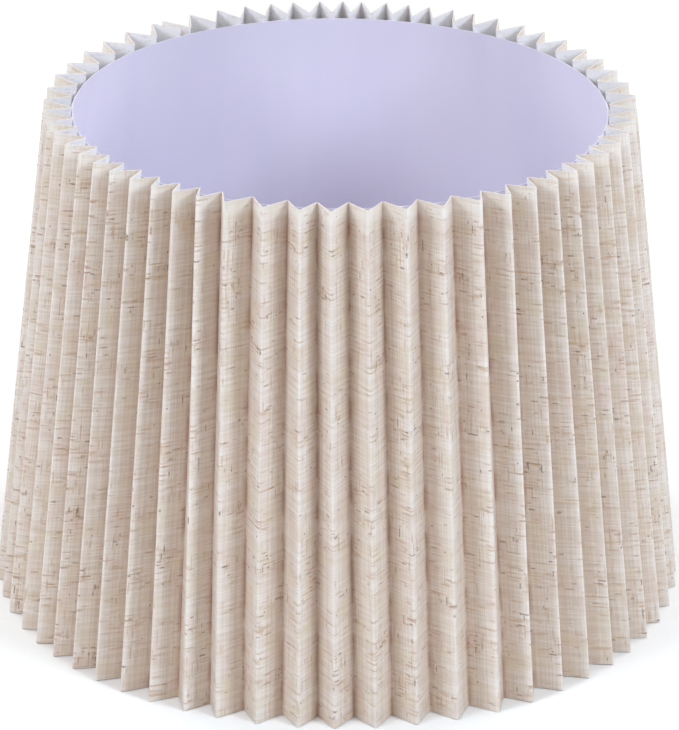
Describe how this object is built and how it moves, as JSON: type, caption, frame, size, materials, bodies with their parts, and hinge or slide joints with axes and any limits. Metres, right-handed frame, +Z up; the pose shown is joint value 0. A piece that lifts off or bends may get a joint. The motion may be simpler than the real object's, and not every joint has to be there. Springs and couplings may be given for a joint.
{
  "type": "pleated lamp shade",
  "caption": "Tapered round lamp shade with a knife-pleated linen-look cover on a smooth white liner, with a wire bottom ring and a reversible gimbal fitter.",
  "frame": {"origin": "centre of the plane that the lower rim stands on", "axes": "+Z up along the shade's axis, towards the smaller opening; X along the gimbal's pivots; -Y is the front"},
  "size_m": [0.304, 0.3043, 0.2213],
  "materials": {
    "linen": "slubbed cream and tan linen weave on a white laminate backing, matte",
    "liner": "smooth satin sheet plastic, white with a faint lavender cast",
    "liner_tape": "thin glossy tape over the liner's lap joint",
    "glue_tape": "milky double-sided tape",
    "glue": "dried clear glue",
    "steel_strip": "white-coated spring-steel strip",
    "steel_wire": "white powder coat",
    "washer": "pressed brown fibre",
    "plastic": "moulded white plastic, satin"
  },
  "bodies": {
    "shade": {"pleated_cover": "linen", "liner": "liner", "liner_seam_tape": "liner_tape", "top_hoop": "steel_strip", "middle_glue_band": "glue_tape", "bottom_glue_band": "glue_tape", "bottom_ring": "steel_wire", "ring_glue_bead": "glue", "pivot_lug_left": "steel_wire", "pivot_lug_right": "steel_wire", "friction_washer_left": "washer", "friction_washer_right": "washer", "pivot_rivet_left": "steel_wire", "pivot_rivet_right": "steel_wire"},
    "gimbal": {"gimbal_tab_left": "steel_wire", "gimbal_tab_right": "steel_wire", "gimbal_wire_front": "steel_wire", "gimbal_wire_back": "steel_wire", "fitter_ring": "steel_wire"},
    "reducer": {"reducer_ring": "plastic"}
  },
  "joints": [
    {"name": "gimbal_flip", "type": "hinge", "parent": "shade", "child": "gimbal", "pos_m": [0, 0, 0.014], "axis": [1, 0, 0], "range_deg": [-180, 180]},
    {"name": "reducer_lift", "type": "slide", "parent": "gimbal", "child": "reducer", "axis": [0, 0, 1], "range_m": [0, 0.05]}
  ]
}
